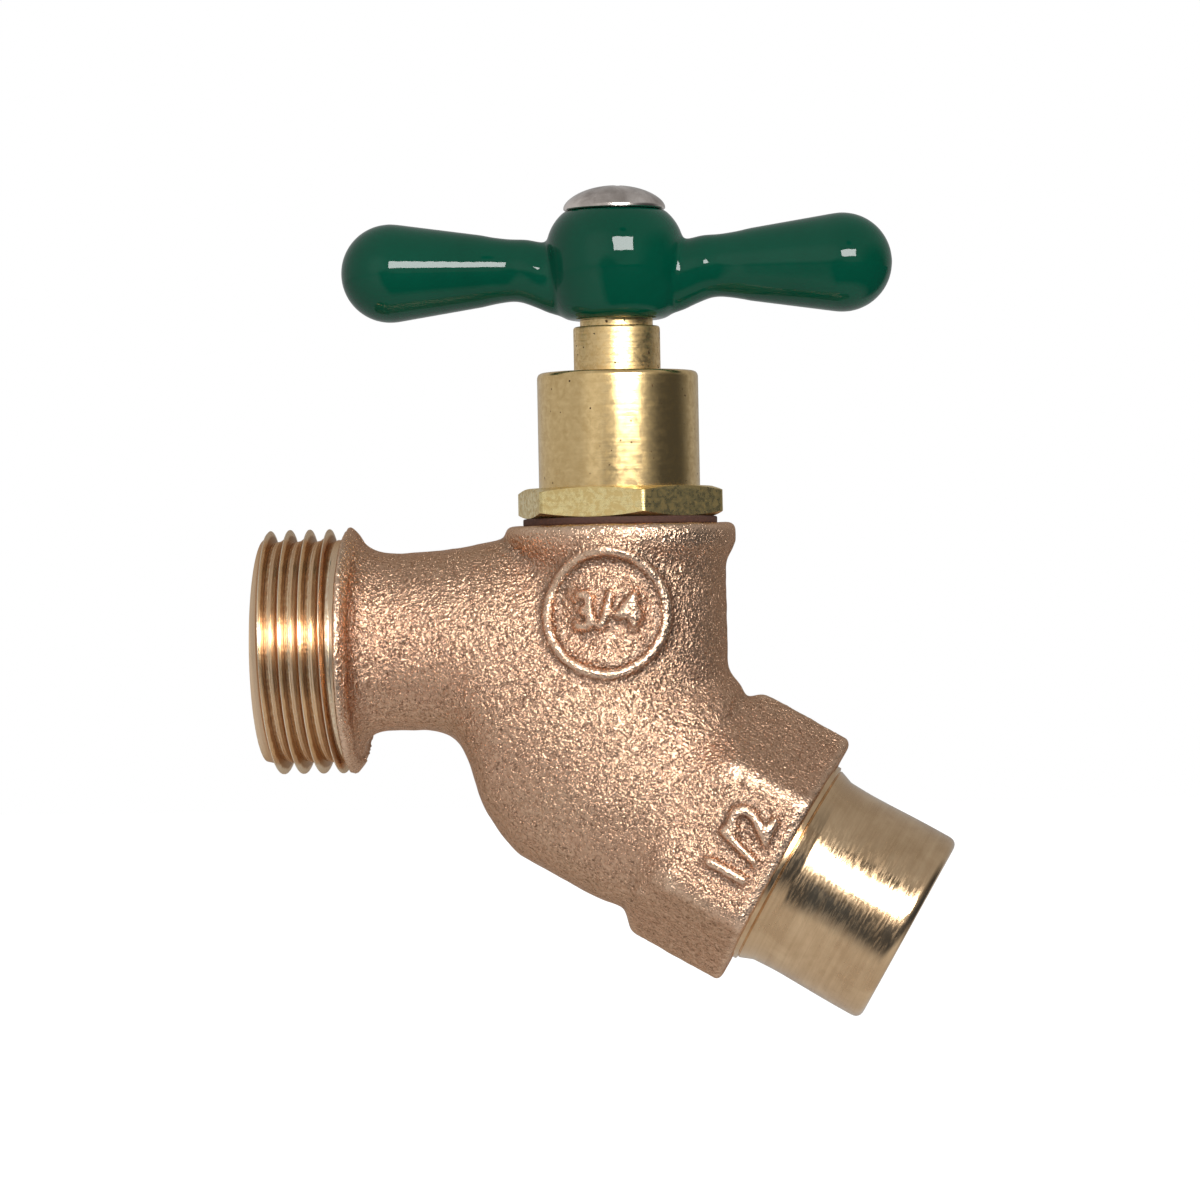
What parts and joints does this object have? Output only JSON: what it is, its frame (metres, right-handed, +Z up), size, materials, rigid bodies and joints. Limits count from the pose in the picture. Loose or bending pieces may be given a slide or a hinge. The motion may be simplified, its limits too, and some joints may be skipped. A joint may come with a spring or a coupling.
{
  "type": "hose bibb",
  "caption": "Outdoor hose tap with a tee handle, a threaded hose outlet, a hexagon boss and an angled solder inlet.",
  "frame": {"origin": "centre of the inlet's mouth, on the end face of the solder spigot", "axes": "+Z up along the stem towards the handle, +X away from the hose outlet, so the outlet faces -X; the inlet leaves towards +X, 30 degrees below level"},
  "size_m": [0.0755, 0.027, 0.0914],
  "materials": {
    "cast_bronze": "sand-cast red bronze, turned at the thread, the neck's face and the spigot",
    "turned_brass": "turned yellow brass",
    "green_enamel": "thick glossy green enamel on cast zinc",
    "nickel_plate": "bright nickel plate",
    "fibre": "red-brown vulcanised fibre",
    "packing": "graphite packing",
    "black_rubber": "moulded black rubber"
  },
  "bodies": {
    "valve": {"body": "cast_bronze", "bonnet_gasket": "fibre", "packing_nut": "turned_brass", "packing_washer": "turned_brass", "packing_ring_upper": "packing", "packing_ring_lower": "packing", "gland_ring": "turned_brass"},
    "washer": {"seat_washer": "black_rubber"},
    "spindle": {"stem": "turned_brass", "bibb_screw": "turned_brass", "handle": "green_enamel", "handle_screw": "nickel_plate"}
  },
  "joints": [
    {"name": "stem_lift", "type": "slide", "parent": "valve", "child": "washer", "axis": [0, 0, 1], "range_m": [0, 0.00635]},
    {"name": "handle_turn", "type": "hinge", "parent": "washer", "child": "spindle", "pos_m": [-0.03079, 0, 0.07318], "axis": [0, 0, 1], "range_deg": [0, 900]}
  ],
  "couplings": [
    {"joint": "handle_turn", "follows": "stem_lift", "rad_per_m": 2473.7}
  ]
}
